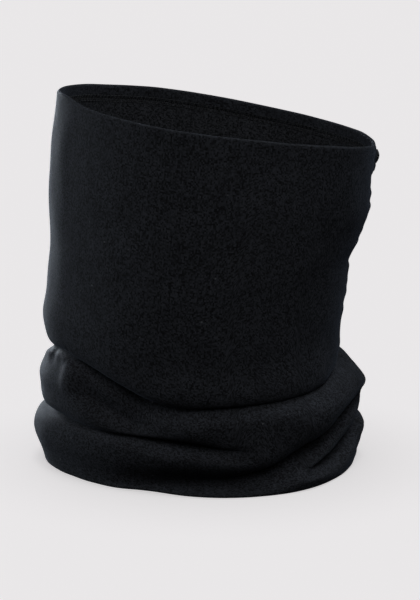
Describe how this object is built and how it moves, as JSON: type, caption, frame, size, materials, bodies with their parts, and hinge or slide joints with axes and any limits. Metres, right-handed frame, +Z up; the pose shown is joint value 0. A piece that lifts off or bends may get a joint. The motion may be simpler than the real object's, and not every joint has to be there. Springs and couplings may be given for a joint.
{
  "type": "neck gaiter",
  "caption": "Double layer jersey neck gaiter, a soft tube for the neck and face on the ski slope, standing on its hem with its lower part slouched into rolls.",
  "frame": {"origin": "centre of the footprint on the floor, under the standing gaiter", "axes": "+Z up along the tube, +X towards the side seam, where the rim is lowest; +Y is the shortest extent"},
  "size_m": [0.1952, 0.153, 0.2122],
  "materials": {
    "shell_jersey": "fine near-black single jersey, matt, with a soft bluish sheen at grazing angles",
    "lining_jersey": "the same jersey, inside, matt",
    "seam_thread": "black polyester sewing thread, slight sheen",
    "label_satin": "dark grey woven satin, blank"
  },
  "bodies": {
    "collar": {"outer_slouch": "shell_jersey", "lining_slouch": "lining_jersey", "hem_seam_thread": "seam_thread", "outer_side_seam_lower": "seam_thread", "lining_side_seam_lower": "seam_thread"},
    "tube": {"outer_tube": "shell_jersey", "lining_tube": "lining_jersey", "rim_seam_thread": "seam_thread", "outer_side_seam_upper": "seam_thread", "lining_side_seam_upper": "seam_thread", "seam_end_tack": "seam_thread"},
    "label": {"care_label": "label_satin"}
  },
  "joints": [
    {"name": "tube_pull", "type": "slide", "parent": "collar", "child": "tube", "axis": [0, 0, 1], "range_m": [-0.045, 0.05], "deforming": ["outer_slouch", "lining_slouch", "outer_side_seam_lower", "lining_side_seam_lower"]},
    {"name": "label_flip", "type": "hinge", "parent": "tube", "child": "label", "pos_m": [0.075, 0, 0.084], "axis": [0.0958, 0, 0.9954], "range_deg": [0, 152]}
  ]
}
